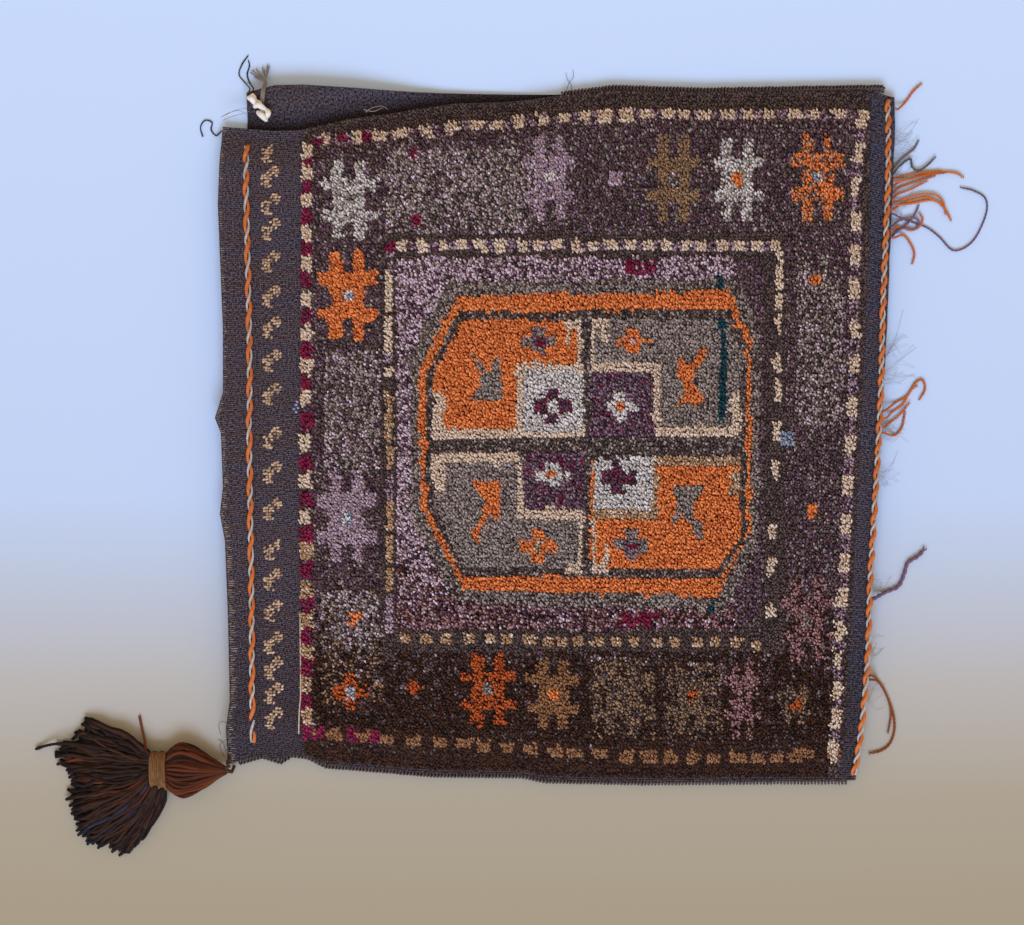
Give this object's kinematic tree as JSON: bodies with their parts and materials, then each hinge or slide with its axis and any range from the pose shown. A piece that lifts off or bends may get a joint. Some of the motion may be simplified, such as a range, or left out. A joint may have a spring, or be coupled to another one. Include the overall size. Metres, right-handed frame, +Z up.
{
  "type": "kilim saddle bag",
  "caption": "Hand-woven wool saddle bag pocket with a pile front, flatwoven mouth strip, folded bottom and one corner tassel.",
  "frame": {"origin": "on the underside of the back wall, in the middle of the pocket", "axes": "+Z up out of the pile face, +X from the open mouth to the bottom fold, +Y towards the partly unsewn side"},
  "size_m": [0.8155, 0.6843, 0.0236],
  "materials": {
    "pile_and_ground_wool": "hand-knotted wool pile in many colours on a weft-faced wool ground",
    "seam_wool": "matt hand-spun wool",
    "orange_wool": "matt hand-spun wool",
    "grey_wool": "matt hand-spun wool",
    "cream_wool": "matt hand-spun wool",
    "rust_wool": "matt hand-spun wool",
    "tan_wool": "matt hand-spun wool",
    "tassel_wool": "matt hand-spun wool",
    "purple_wool": "matt hand-spun wool",
    "thread_cotton": "thin spun thread",
    "white_cotton": "torn white cotton tie"
  },
  "bodies": {
    "root": {"bag_cloth": "pile_and_ground_wool", "seam_lower": "seam_wool", "seam_upper": "seam_wool", "mouth_twining_orange": "orange_wool", "mouth_twining_grey": "grey_wool", "fold_twining_orange": "orange_wool", "fold_twining_cream": "cream_wool", "tassel_tie": "rust_wool", "tassel_head": "rust_wool", "tassel_binding": "tan_wool", "tassel_skirt": "tassel_wool", "tassel_stray_end": "rust_wool", "fold_end_1": "orange_wool", "fold_end_2": "orange_wool", "fold_end_3": "orange_wool", "fold_end_4": "purple_wool", "fold_end_5": "orange_wool", "fold_end_6": "orange_wool", "fold_end_7": "orange_wool", "fold_end_8": "purple_wool", "fold_end_9": "seam_wool", "junction_yarn": "cream_wool", "corner_thread_1": "thread_cotton", "corner_thread_2": "thread_cotton", "corner_loop": "thread_cotton", "corner_fringe": "grey_wool", "corner_knot": "white_cotton"}
  },
  "joints": []
}
